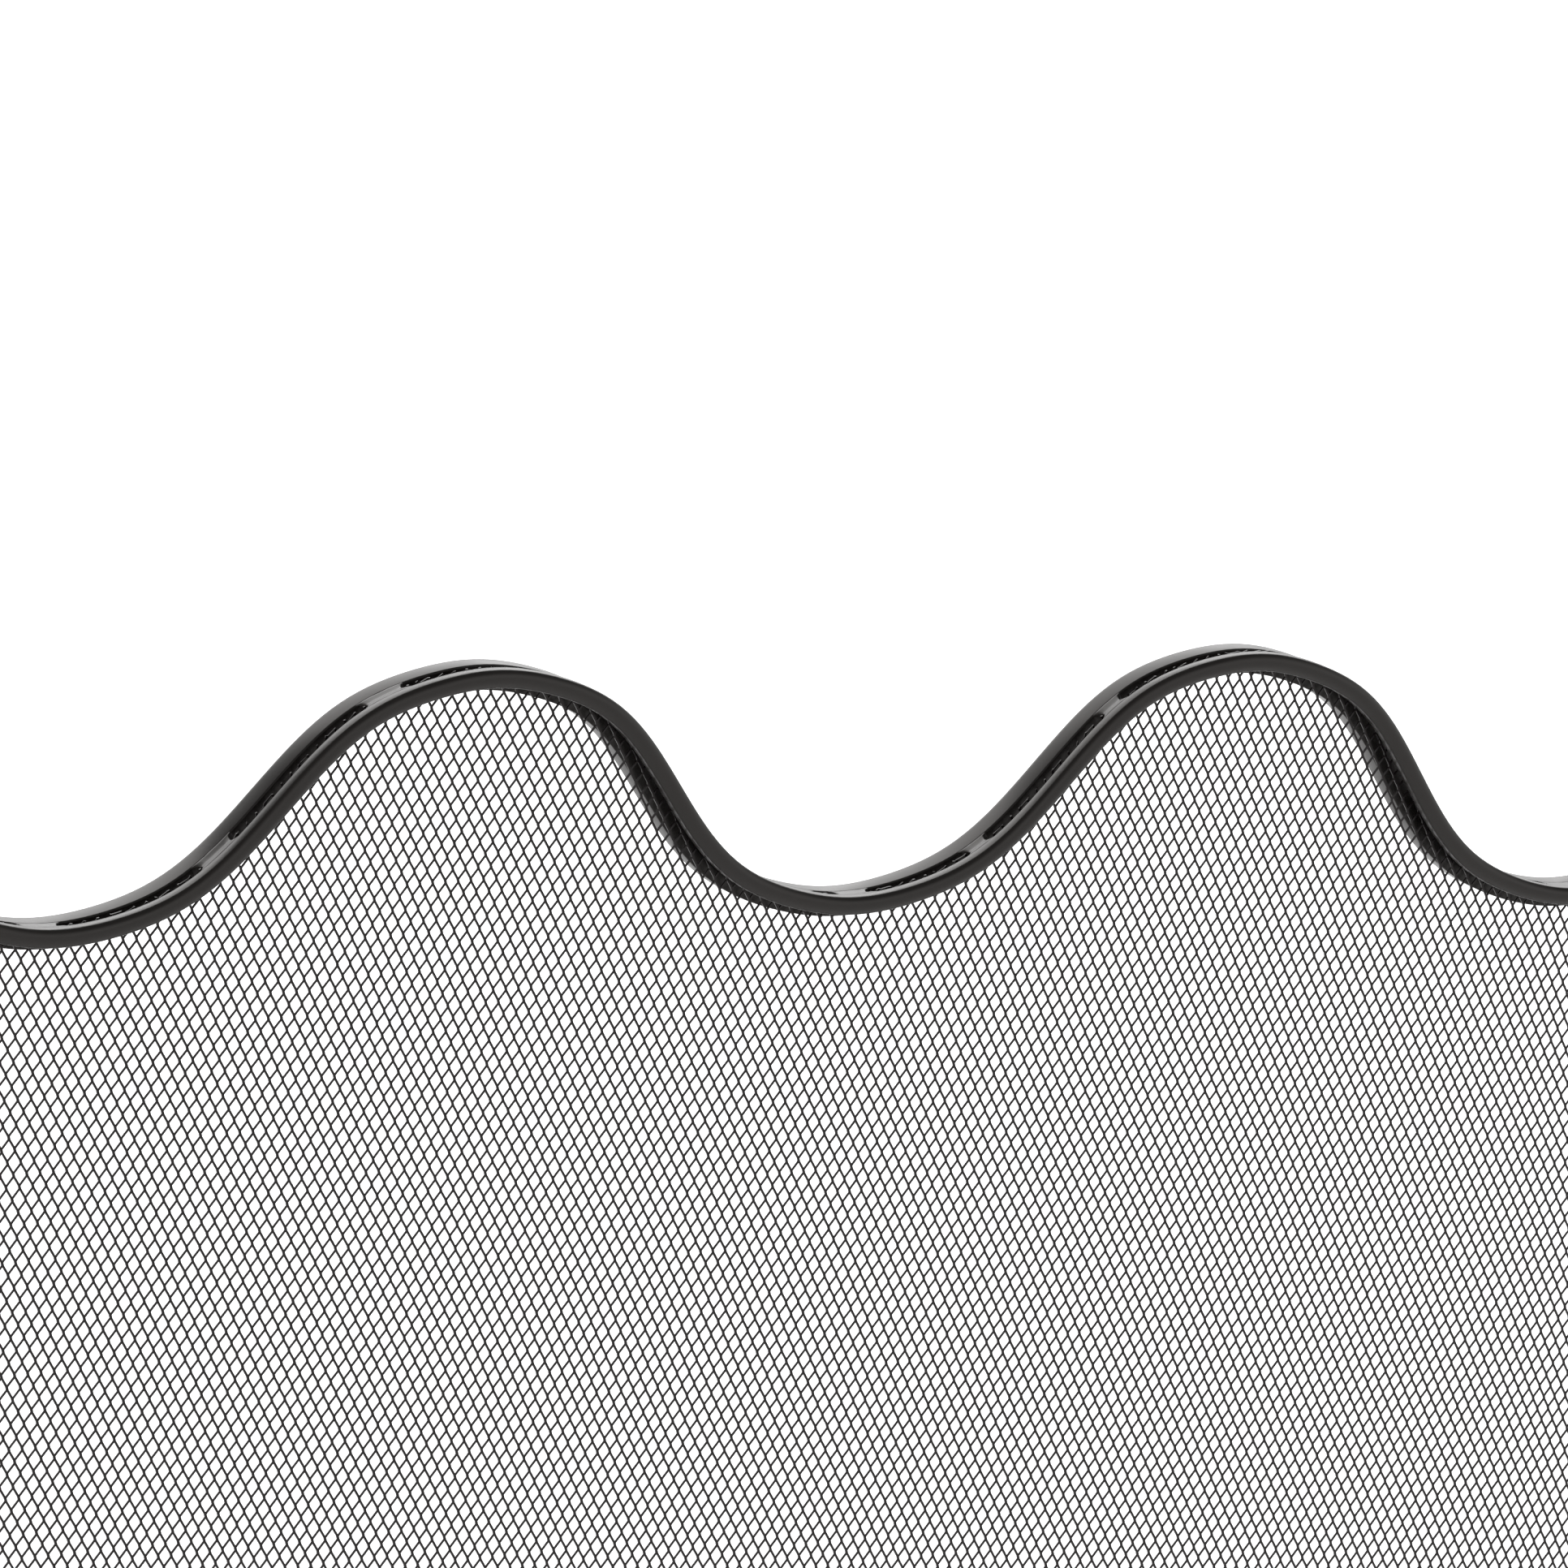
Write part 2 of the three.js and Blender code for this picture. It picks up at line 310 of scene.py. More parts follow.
def handling_group():
    """Smears of dust and finger grease, stronger low down near the floor."""
    group, nodes, given, result = new_group(
        "handling", {"Smear Scale": 14.0, "Dust Height": 0.05}, ("Smear", "Dust")
    )
    place = nodes.add("ShaderNodeTexCoord").outputs["Object"]
    smear = nodes.add(
        "ShaderNodeTexNoise",
        {"Vector": place, "Scale": given.outputs["Smear Scale"], "Detail": 6.0, "Roughness": 0.7},
    )
    clear = nodes.add(
        "ShaderNodeMapRange",
        {"Value": smear.outputs["Fac"], "From Min": 0.45, "From Max": 0.75},
    )
    height = nodes.add("ShaderNodeSeparateXYZ", {"Vector": place})
    low = nodes.add(
        "ShaderNodeMapRange",
        {
            "Value": height.outputs["Z"],
            "From Min": 0.0,
            "From Max": given.outputs["Dust Height"],
            "To Min": 1.0,
            "To Max": 0.0,
        },
    )
    dust = nodes.add(
        "ShaderNodeMath", {0: low.outputs["Result"], 1: smear.outputs["Fac"]}, operation="MULTIPLY"
    )
    group.links.new(clear.outputs["Result"], result.inputs["Smear"])
    group.links.new(dust.outputs[0], result.inputs["Dust"])
    return group


# ---- materials ----


def start_material(name):
    material = bpy.data.materials.new(name)
    material.use_nodes = True
    material.node_tree.nodes.clear()
    nodes = Nodes(material.node_tree)
    shader = nodes.add("ShaderNodeBsdfPrincipled")
    surface = nodes.add("ShaderNodeOutputMaterial")
    material.node_tree.links.new(shader.outputs["BSDF"], surface.inputs["Surface"])
    return material, nodes, shader


def blend_colours(nodes, factor, first, second):
    mix = nodes.add(
        "ShaderNodeMix", {"Factor": factor, "A": first, "B": second}, data_type="RGBA"
    )
    return mix.outputs["Result"]


def coated_steel(name, dark, light, gloss, peel_scale, bump_distance, ior):
    """Satin black sprayed steel."""
    material, nodes, shader = start_material(name)
    link = material.node_tree.links.new
    coat = nodes.add("ShaderNodeGroup", node_tree=bpy.data.node_groups["sprayed_coat"])
    coat.inputs["Peel Scale"].default_value = peel_scale
    handled = nodes.add("ShaderNodeGroup", node_tree=bpy.data.node_groups["handling"])
    colour = blend_colours(nodes, coat.outputs["Mottle"], dark, light)
    link(colour, shader.inputs["Base Color"])
    rough = nodes.add(
        "ShaderNodeMapRange",
        {
            "Value": coat.outputs["Mottle"],
            "From Min": 0.3,
            "From Max": 0.7,
            "To Min": gloss,
            "To Max": gloss + 0.08,
        },
    )
    smeared = nodes.add(
        "ShaderNodeMath",
        {0: handled.outputs["Smear"], 1: 0.06, 2: rough.outputs["Result"]},
        operation="MULTIPLY_ADD",
    )
    link(smeared.outputs[0], shader.inputs["Roughness"])
    specks = nodes.add(
        "ShaderNodeMath",
        {0: coat.outputs["Specks"], 1: 0.5, 2: coat.outputs["Height"]},
        operation="MULTIPLY_ADD",
    )
    bump = nodes.add(
        "ShaderNodeBump",
        {"Height": specks.outputs[0], "Strength": 0.5, "Distance": bump_distance},
    )
    link(bump.outputs["Normal"], shader.inputs["Normal"])
    shader.inputs["IOR"].default_value = ior
    shader.inputs["Specular Tint"].default_value = (1.0, 0.955, 0.925, 1.0)
    return material


def blackened_screw():
    material, nodes, shader = start_material("blackened_screw")
    link = material.node_tree.links.new
    place = nodes.add("ShaderNodeTexCoord").outputs["Object"]
    turned = nodes.add("ShaderNodeTexNoise", {"Vector": place, "Scale": 2600.0, "Detail": 2.0})
    worn = nodes.add("ShaderNodeTexNoise", {"Vector": place, "Scale": 500.0, "Detail": 5.0})
    colour = blend_colours(
        nodes, worn.outputs["Fac"], (0.035, 0.035, 0.038, 1.0), (0.11, 0.11, 0.115, 1.0)
    )
    link(colour, shader.inputs["Base Color"])
    rough = nodes.add(
        "ShaderNodeMapRange", {"Value": worn.outputs["Fac"], "To Min": 0.28, "To Max": 0.5}
    )
    link(rough.outputs["Result"], shader.inputs["Roughness"])
    bump = nodes.add(
        "ShaderNodeBump", {"Height": turned.outputs["Fac"], "Strength": 0.3, "Distance": 0.03 * MM}
    )
    link(bump.outputs["Normal"], shader.inputs["Normal"])
    shader.inputs["Metallic"].default_value = 0.9
    return material


def pad_rubber():
    material, nodes, shader = start_material("pad_rubber")
    link = material.node_tree.links.new
    handled = nodes.add("ShaderNodeGroup", node_tree=bpy.data.node_groups["handling"])
    place = nodes.add("ShaderNodeTexCoord").outputs["Object"]
    grain = nodes.add("ShaderNodeTexNoise", {"Vector": place, "Scale": 1800.0, "Detail": 4.0})
    colour = blend_colours(
        nodes, handled.outputs["Dust"], (0.014, 0.014, 0.014, 1.0), (0.09, 0.085, 0.08, 1.0)
    )
    link(colour, shader.inputs["Base Color"])
    rough = nodes.add(
        "ShaderNodeMapRange", {"Value": grain.outputs["Fac"], "To Min": 0.7, "To Max": 0.95}
    )
    link(rough.outputs["Result"], shader.inputs["Roughness"])
    bump = nodes.add(
        "ShaderNodeBump", {"Height": grain.outputs["Fac"], "Strength": 0.4, "Distance": 0.06 * MM}
    )
    link(bump.outputs["Normal"], shader.inputs["Normal"])
    return material


sprayed_coat_group()
handling_group()
FRAME_COAT = coated_steel(
    "frame_coat",
    dark=(0.0075, 0.0068, 0.0062, 1.0),
    light=(0.0125, 0.0100, 0.0088, 1.0),
    gloss=0.27,
    peel_scale=900.0,
    bump_distance=0.02 * MM,
    ior=1.5,
)
MESH_COAT = coated_steel(
    "mesh_coat",
    dark=(0.006, 0.0045, 0.005, 1.0),
    light=(0.011, 0.008, 0.009, 1.0),
    gloss=0.25,
    peel_scale=1500.0,
    bump_distance=0.02 * MM,
    ior=1.42,
)
SCREW_STEEL = blackened_screw()
PAD_RUBBER = pad_rubber()

# ---- frame bars ----

TOUCH = 0.5 * MM
FRONT_ROUND = 2.3 * MM
FRONT_CROWN = 1.3 * MM
FRONT_BACK_ROUND = 0.35 * MM
REAR_ROUND = 0.5 * MM
REAR_BACK_ROUND = 2.0 * MM
AT_THE_BACK = 0.05 * MM
RAIL_CUTS = (18, 20)


def round_front_bar(piece, along, y_range):
    """Gives the bar a low crowned face with flat sides, and just breaks its back edges.

    It is rounded while it is stretched, so that the crown comes out flatter than a quarter
    circle. Its front edges lie forward of face while it is stretched.
    """
    face, back = y_range
    squash_from(piece, back, FRONT_ROUND / FRONT_CROWN)
    round_edges(
        piece,
        lambda edge: runs_along(edge, along) and middle_of(edge).y < face,
        FRONT_ROUND,
        8,
    )
    round_edges(
        piece,
        lambda edge: runs_along(edge, along) and middle_of(edge).y > back - AT_THE_BACK,
        FRONT_BACK_ROUND,
        3,
    )
    squash_from(piece, back, FRONT_CROWN / FRONT_ROUND)


def squash_from(piece, plane, factor):
    """Makes the piece deeper or flatter, with its back staying where it is."""
    open_and_pick(piece, "VERT", lambda vert: True)
    bpy.ops.transform.resize(value=(1, factor, 1), center_override=(0, plane, 0))
    close()


def round_rear_bar(piece, along):
    """Breaks the front edges and rounds the back ones more."""
    back = max(vert.co.y for vert in piece.data.vertices)
    for behind, radius, steps in ((False, REAR_ROUND, 4), (True, REAR_BACK_ROUND, 8)):
        round_edges(
            piece,
            lambda edge: runs_along(edge, along)
            and (middle_of(edge).y > back - AT_THE_BACK) == behind,
            radius,
            steps,
        )


def top_rail(name, node, guide, high, face, y_range, inset, shaper):
    """A straight bar, rounded, cut into short lengths and bent along the wave."""
    low_corner = (inset, y_range[0], high - face)
    high_corner = (WAVE_LENGTH - inset, y_range[1], high)
    rail = block(name, low_corner, high_corner)
    shaper(rail)
    for cuts in RAIL_CUTS:
        divide_along(rail, 0, cuts)
    apply(rail, "CURVE", object=guide, deform_axis="POS_X")
    smooth(rail)
    fit_to_frame(rail, FRAME_COAT, "black_frame", node)


def straight_bar(name, node, low, high, along, shaper):
    """An upright or a bottom bar."""
    bar = block(name, low, high)
    shaper(bar, along)
    smooth(bar)
    fit_to_frame(bar, FRAME_COAT, "black_frame", node)


def build_frame(guide):
    """All eight bars. Straight ones reach a little past their nodes, to meet the others."""
    front_y = (FRONT_LOW.y, FRONT_HIGH.y)
    rear_y = (REAR_LOW.y, REAR_HIGH.y)

    def shape_front(bar, along):
        round_front_bar(bar, along, front_y)

    top_rail(
        "front_top_rail", "front_top_bar", guide, 0.0, FRONT_FACE, front_y, 0.0,
        lambda rail: shape_front(rail, 0),
    )
    top_rail(
        "rear_top_rail", "rear_top_bar", guide, -REAR_INSET, REAR_FACE, rear_y, REAR_INSET,
        lambda rail: round_rear_bar(rail, 0),
    )
    for prefix, shaper in (("front", shape_front), ("rear", round_rear_bar)):
        for side in ("left", "right"):
            node = f"{prefix}_upright_{side}"
            low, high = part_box(node)
            high = high + Vector((0, 0, TOUCH))
            straight_bar(f"{prefix}_post_{side}", node, low, high, 2, shaper)
        node = f"{prefix}_bottom_bar"
        low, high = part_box(node)
        reach = Vector((TOUCH, 0, 0))
        straight_bar(f"{prefix}_bottom_rail", node, low - reach, high + reach, 0, shaper)


# ---- welds ----

BEAD_LENGTH = 8 * MM
BEAD_THICK = 2.4 * MM
BEAD_LUMPS = 0.07 * MM
BEAD_LUMP_SIZE = 3.0 * MM
FRONT_BITE = 0.5 * MM
REAR_BITE = 0.9 * MM
BEAD_DIP = 0.06 * MM
BITE_SLOPE = 0.28
BEAD_RIM = 0.45 * MM
BEAD_ROWS = 15
FILLET_SHARE = 0.6
FLARE = 2.0 * MM


def soft_step(part):
    part = min(max(part, 0.0), 1.0)
    return part * part * (3 - 2 * part)


def weld_bead():
    """One weld that fills the gap, waisted in the middle and spreading on to both bars."""
    half_gap = GAP / 2
    bead = block(
        "weld_bead",
        (-BEAD_LENGTH / 2, -half_gap - FRONT_BITE, -BEAD_THICK),
        (BEAD_LENGTH / 2, half_gap + REAR_BITE, 0),
    )
    round_edges(
        bead, lambda edge: runs_along(edge, 1) and middle_of(edge).z > -0.1 * MM, BEAD_RIM, 3
    )
    divide_along(bead, 1, BEAD_ROWS)
    divide_along(bead, 0, 4)
    rows = sorted({round(v.co.y, 6) for v in bead.data.vertices})
    for row in rows:
        part = min(abs(row) / half_gap, 1.0)
        spread = FLARE * (1 - math.sqrt(1 - part * part))
        factor = 1 + spread / (BEAD_LENGTH / 2)
        down_to_rear = REAR_INSET * soft_step((row + half_gap) / (FILLET_SHARE * GAP))
        down = down_to_rear + BEAD_DIP * (1 - part * part)
        down += BITE_SLOPE * max(abs(row) - half_gap, 0)
        open_and_pick(bead, "VERT", lambda vert: abs(vert.co.y - row) < 1e-5)
        bpy.ops.transform.resize(value=(factor, 1, 1), center_override=(0, row, 0))
        bpy.ops.transform.translate(value=(0, 0, -down))
        close()
    return bead


def spread_to_length(bead, length):
    """Moves the two halves of a bead apart or together, so that its ends keep their shape."""
    move = (length - BEAD_LENGTH) / 2
    for sign in (-1, 1):
        open_and_pick(bead, "VERT", lambda vert: vert.co.x * sign > 1e-6)
        bpy.ops.transform.translate(value=(sign * move, 0, 0))
        close()


def finish_bead(bead, node, lumps):
    apply(
        bead,
        "DISPLACE",
        texture=lumps,
        texture_coords="GLOBAL",
        strength=BEAD_LUMPS,
        mid_level=0.5,
    )
    smooth(bead, 60)
    fit_to_frame(bead, FRAME_COAT, "black_frame", node)


def slope_at(x):
    step = 0.1 * MM
    return float((wave_height(x + step) - wave_height(x - step)) / (2 * step))


def build_welds(guide):
    """A bead for each weld node, at the node's place."""
    lumps = bpy.data.textures.new("weld_lumps", "CLOUDS")
    lumps.noise_scale = BEAD_LUMP_SIZE
    master = weld_bead()
    for node in sorted(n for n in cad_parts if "_weld_" in n):
        low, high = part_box(node)
        middle = (low + high) / 2
        bead = copy_of(master, node.replace("weld", "bead"))
        if node.startswith("top"):
            width = high.x - low.x
            spread_to_length(bead, width * math.hypot(1, slope_at(middle.x)))
            bead.location = (way_along(middle.x), 0, 0)
            settle(bead)
            apply(bead, "CURVE", object=guide, deform_axis="POS_X")
        else:
            spread_to_length(bead, max(high.x - low.x, high.z - low.z))
            if node.startswith("bottom"):
                bead.rotation_euler = (0, math.pi, 0)
                bead.location = (middle.x, 0, BOTTOM_EDGE)
            else:
                side = math.copysign(1, middle.x)
                bead.rotation_euler = (0, side * math.pi / 2, 0)
                bead.location = (side * HALF_WIDTH, 0, middle.z)
            settle(bead)
        finish_bead(bead, node, lumps)
    discard(master)


# ---- diamond mesh ----

# The sheet was hung a little askew: its rows rise to the right and its columns
# lean to the left.
CELL_ACROSS = Vector((3.95, 0.0, 0.13)) * MM
CELL_UP = Vector((-0.56, 0.0, 6.72)) * MM
KNUCKLE = Vector((-0.24, 0.0, 0.80)) * MM
FALLING_WIDTH = 0.74 * MM
RISING_WIDTH = 0.57 * MM
STRAND_THICK = 0.40 * MM
KNUCKLE_SPREAD = 0.06 * MM
STEP_BACK = 0.04 * MM
MESH_Y = (SHEET_LOW.y + SHEET_HIGH.y) / 2
MESH_INSET = 0.3 * MM
INSET_UNDER_WELD = 1.2 * MM
RAGGED = 0.28 * MM
CELLS_IN_STRIP = 24
RING_EDGE = 0.75 * MM
WANDER = 0.22 * MM
TOP_WELD_BOXES = [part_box(node) for node in sorted(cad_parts) if node.startswith("top_weld")]


def strand():
    """One strand over one cell: up beside a knuckle, across, up beside the next, and back."""
    bpy.ops.object.select_all(action="DESELECT")
    bpy.ops.mesh.primitive_plane_add(size=1)
    piece = bpy.context.object
    piece.name = "strand"
    piece.scale = (FALLING_WIDTH, STRAND_THICK, 1)
    beside = Vector((KNUCKLE_SPREAD, STEP_BACK, 0))
    half_knuckle = KNUCKLE / 2
    next_knuckle = (CELL_ACROSS + CELL_UP) / 2
    route = [
        beside - half_knuckle,
        beside + half_knuckle,
        next_knuckle - beside - half_knuckle,
        next_knuckle - beside + half_knuckle,
        CELL_UP + beside - half_knuckle,
    ]
    widths = [FALLING_WIDTH, RISING_WIDTH, RISING_WIDTH, FALLING_WIDTH, FALLING_WIDTH]
    piece.location = route[0]
    settle(piece)
    open_and_pick(piece, "FACE", lambda face: True)
    for i in range(1, len(route)):
        step = route[i] - route[i - 1]
        bpy.ops.mesh.extrude_region_move(TRANSFORM_OT_translate={"value": step})
        change = widths[i] / widths[i - 1]
        bpy.ops.transform.resize(value=(change, 1, 1), center_override=route[i])
    close()
    lowest = route[0].z + 0.01 * MM
    highest = route[-1].z - 0.01 * MM
    open_and_pick(
        piece,
        "FACE",
        lambda face: all(v.co.z < lowest for v in face.verts)
        or all(v.co.z > highest for v in face.verts),
    )
    bpy.ops.mesh.delete(type="ONLY_FACE")
    close()
    return piece


def array(piece, count, step, merge=False):
    apply(
        piece,
        "ARRAY",
        count=count,
        use_relative_offset=False,
        use_constant_offset=True,
        constant_offset_displace=step,
        use_merge_vertices=merge,
        merge_threshold=0.02 * MM,
    )


def coordinates(piece):
    places = np.empty(len(piece.data.vertices) * 3)
    piece.data.vertices.foreach_get("co", places)
    return places.reshape(-1, 3)


def room_inside(places):
    """How far each point lies inside the outline that the mesh is cut to, and which way is in."""
    x = places[:, 0]
    z = places[:, 2]
    step = 0.5 * MM
    slope = (wave_height(x + step) - wave_height(x - step)) / (2 * step)
    under_wave = (wave_height(x) - z) / np.hypot(1, slope)
    side = HALF_WIDTH - np.abs(x)
    above_bottom = z - BOTTOM_EDGE
    ragged = RAGGED * np.sin(x * 5200) * np.sin(x * 1130 + z * 2900)
    room = np.minimum(np.minimum(under_wave, side), above_bottom) - MESH_INSET + ragged
    for low, high in TOP_WELD_BOXES:
        covered = (x > low.x - MM / 2) & (x < high.x + MM / 2)
        under_weld = under_wave[covered] - MESH_INSET - INSET_UNDER_WELD
        room[covered] = np.minimum(room[covered], under_weld)
    inward = np.stack([slope, np.zeros_like(x), -np.ones_like(x)], axis=1)
    inward /= np.linalg.norm(inward, axis=1)[:, None]
    by_side = side <= np.minimum(under_wave, above_bottom)
    inward[by_side] = np.stack(
        [-np.sign(x[by_side]), np.zeros(by_side.sum()), np.zeros(by_side.sum())], axis=1
    )
    by_bottom = above_bottom < np.minimum(under_wave, side)
    inward[by_bottom] = (0, 0, 1)
    return room, inward


def trim_to_outline(piece):
    """Cuts the strands off along the outline and closes their ends."""
    places = coordinates(piece)
    room, inward = room_inside(places)
    ends = np.empty(len(piece.data.edges) * 2, dtype=np.int64)
    piece.data.edges.foreach_get("vertices", ends)
    ends = ends.reshape(-1, 2)
    lengths = np.linalg.norm(places[ends[:, 0]] - places[ends[:, 1]], axis=1)
    rings = ends[lengths < RING_EDGE]
    runs = ends[lengths >= RING_EDGE]
    inside = room > 0
    for _ in range(3):
        inside = spread(inside, rings)
    kept = spread(inside, runs)
    moved = kept & (room < 0)
    places[moved] -= inward[moved] * room[moved, None]
    piece.data.vertices.foreach_set("co", places.ravel())
    piece.data.vertices.foreach_set("select", ~kept)
    piece.data.edges.foreach_set("select", (~kept[ends]).all(axis=1))
    make_active(piece)
    bpy.ops.object.mode_set(mode="EDIT")
    bpy.ops.mesh.select_mode(type="VERT")
    bpy.ops.mesh.delete(type="VERT")
    bpy.ops.mesh.select_all(action="SELECT")
    bpy.ops.mesh.fill_holes(sides=4)
    bpy.ops.mesh.select_all(action="SELECT")
    bpy.ops.mesh.normals_make_consistent(inside=False)
    close()


def spread(chosen, pairs):
    """The chosen points and all that are joined to them."""
    wider = chosen.copy()
    np.logical_or.at(wider, pairs[:, 0], chosen[pairs[:, 1]])
    np.logical_or.at(wider, pairs[:, 1], chosen[pairs[:, 0]])
    return wider


def let_wander(piece):
    """The small unevenness of a stretched sheet."""
    places = coordinates(piece)
    x = places[:, 0].copy()
    z = places[:, 2].copy()
    places[:, 0] += WANDER * (np.sin(z * 61 + 1.3) + 0.6 * np.sin(x * 47 + z * 23))
    places[:, 2] += WANDER * (np.sin(x * 53 + 0.4) + 0.6 * np.sin(z * 39 - x * 31))
    places[:, 1] += 0.4 * WANDER * np.sin(x * 40 + z * 34)
    piece.data.vertices.foreach_set("co", places.ravel())
    piece.data.update()


def build_mesh():
    """Strips of diamond mesh, side by side, trimmed to the frame."""
    column = strand()
    rows = math.ceil((TOP_HIGH.z - BOTTOM_EDGE) / CELL_UP.z) + 3
    array(column, rows, CELL_UP, merge=True)
    array(column, 2, (CELL_ACROSS + CELL_UP) / 2)
    array(column, CELLS_IN_STRIP, CELL_ACROSS)
    lean = abs(CELL_UP.x) * rows
    strips = math.ceil((2 * HALF_WIDTH + lean) / (CELLS_IN_STRIP * CELL_ACROSS.x))
    for i in range(strips):
        start = Vector((-HALF_WIDTH, MESH_Y, BOTTOM_EDGE)) + i * CELLS_IN_STRIP * CELL_ACROSS
        rows_too_high = math.ceil((start.z - BOTTOM_EDGE) / CELL_UP.z) + 1
        strip = copy_of(column, f"mesh_strip_{i + 1:02d}")
        strip.location = start - rows_too_high * CELL_UP
        settle(strip)
        let_wander(strip)
        trim_to_outline(strip)
        fit_to_frame(strip, MESH_COAT, "mesh_steel", "mesh_panel")
    discard(column)


# ---- feet, screws and pads ----

FOOT_CORNER = 6 * MM
FOOT_EDGE = 0.48 * MM
FOOT_BAR_THICK = 6 * MM
TAB_ROUND = 6 * MM
TAB_THICK = 3 * MM
TAB_BEHIND_FRAME = 0.3 * MM
DRILL_RADIUS = 2.2 * MM
DRILL_DEPTH = 30 * MM
SCREW_HEAD = 2.4 * MM
SCREW_HEAD_ROUND = 1.1 * MM
SCREW_HEAD_RIM = 0.25 * MM
SHANK_RADIUS = 1.9 * MM
SOCKET_RADIUS = 1.45 * MM
SOCKET_BIT = 3 * MM
SOCKET_BIT_OUT = 0.2 * MM
PAD_IN_FOOT = 0.35 * MM
PAD_ROUND = 0.8 * MM
PAD_RIM = 3 * MM
PAD_GROOVE = 1.2 * MM
PAD_GROOVE_DEPTH = 0.5 * MM
PAD_GROOVE_FROM = 3.6 * MM
PAD_GROOVE_TO = 5.2 * MM


def build_foot(side):
    """A flat bar with rounded ends and an upright tab, drilled for its screws."""
    node = f"foot_{side}"
    low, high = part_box(node)
    tab_front = REAR_HIGH.y + TAB_BEHIND_FRAME
    tab_back = tab_front + TAB_THICK
    bar_top = low.z + FOOT_BAR_THICK
    foot = block(f"cross_foot_{side}", low, (high.x, high.y, bar_top))
    open_and_pick(foot, "FACE", lambda face: True)
    bpy.ops.mesh.bisect(plane_co=(0, tab_front, 0), plane_no=(0, 1, 0))
    bpy.ops.mesh.select_all(action="SELECT")
    bpy.ops.mesh.bisect(plane_co=(0, tab_back, 0), plane_no=(0, 1, 0))
    close()

    def is_tab_seat(face):
        middle = face.calc_center_median()
        return face.normal.z > 0.9 and tab_front < middle.y < tab_back

    open_and_pick(foot, "FACE", is_tab_seat)
    bpy.ops.mesh.extrude_region_move(TRANSFORM_OT_translate={"value": (0, 0, high.z - bar_top)})
    close()
    round_edges(
        foot,
        lambda edge: runs_along(edge, 2)
        and (middle_of(edge).y < low.y + MM or middle_of(edge).y > high.y - MM),
        FOOT_CORNER,
        6,
    )
    round_edges(
        foot,
        lambda edge: runs_along(edge, 1) and middle_of(edge).z > high.z - MM,
        TAB_ROUND,
        6,
    )
    for number in (1, 2):
        drill_for_screw(foot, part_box(f"foot_screw_{side}_{number}"))
    apply(
        foot,
        "BEVEL",
        width=FOOT_EDGE,
        segments=3,
        limit_method="ANGLE",
        angle_limit=math.radians(50),
    )
    smooth(foot)
    fit_to_frame(foot, FRAME_COAT, "black_frame", node)


def drill_for_screw(foot, screw_box):
    middle = (screw_box[0] + screw_box[1]) / 2
    drill = disc("drill", DRILL_RADIUS, DRILL_DEPTH, middle, 24, turn=(math.pi / 2, 0, 0))
    apply(foot, "BOOLEAN", operation="DIFFERENCE", solver="EXACT", object=drill)
    discard(drill)


def build_screw(side, number):
    """A pan head screw with a hexagon socket, seen from behind."""
    node = f"foot_screw_{side}_{number}"
    low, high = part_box(node)
    middle = (low + high) / 2
    radius = (high.x - low.x) / 2
    screw = disc(
        f"socket_screw_{side}_{number}",
        radius,
        SCREW_HEAD,
        (middle.x, high.y - SCREW_HEAD / 2, middle.z),
        36,
        turn=(math.pi / 2, 0, 0),
    )
    back = high.y - 0.01 * MM
    front = high.y - SCREW_HEAD + 0.01 * MM
    open_and_pick(screw, "FACE", lambda face: face.calc_center_median().y > back)
    bpy.ops.mesh.bevel(offset=SCREW_HEAD_ROUND, segments=5, affect="EDGES")
    close()
    open_and_pick(screw, "FACE", lambda face: face.normal.y > 0.99)
    bpy.ops.mesh.inset(thickness=SCREW_HEAD_RIM)
    close()
    open_and_pick(screw, "FACE", lambda face: face.calc_center_median().y < front)
    bpy.ops.mesh.inset(thickness=radius - SHANK_RADIUS)
    bpy.ops.mesh.extrude_region_move(TRANSFORM_OT_translate={"value": (0, low.y - front, 0)})
    close()
    socket = disc(
        "socket",
        SOCKET_RADIUS,
        SOCKET_BIT,
        (middle.x, high.y + SOCKET_BIT_OUT, middle.z),
        6,
        turn=(math.pi / 2, 0, 0),
    )
    apply(screw, "BOOLEAN", operation="DIFFERENCE", solver="EXACT", object=socket)
    discard(socket)
    smooth(screw, 30)
    fit_to_frame(screw, SCREW_STEEL, "screw_steel", node)


def build_pad(side, end):
    """A rubber disc with a soft rim and a shallow ring under it."""
    node = f"foot_pad_{side}_{end}"
    low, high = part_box(node)
    middle = (low + high) / 2
    radius = (high.x - low.x) / 2
    top = high.z + PAD_IN_FOOT
    pad = disc(
        f"rubber_pad_{side}_{end}", radius, top - low.z,
        (middle.x, middle.y, (top + low.z) / 2), 48,
    )
    open_and_pick(pad, "FACE", lambda face: face.normal.z < -0.9)
    bpy.ops.mesh.bevel(offset=PAD_ROUND, segments=4, affect="EDGES")
    close()
    open_and_pick(pad, "FACE", lambda face: face.normal.z < -0.99)
    bpy.ops.mesh.inset(thickness=PAD_RIM)
    bpy.ops.mesh.inset(thickness=PAD_GROOVE)
    close()
    under = Vector((middle.x, middle.y, low.z))

    def is_groove(face):
        out = (face.calc_center_median() - under).length
        return face.normal.z < -0.99 and PAD_GROOVE_FROM < out < PAD_GROOVE_TO

    open_and_pick(pad, "FACE", is_groove)
    bpy.ops.mesh.extrude_region_move(TRANSFORM_OT_translate={"value": (0, 0, PAD_GROOVE_DEPTH)})
    close()
    smooth(pad, 30)
    fit_to_frame(pad, PAD_RUBBER, "pad_rubber", node)


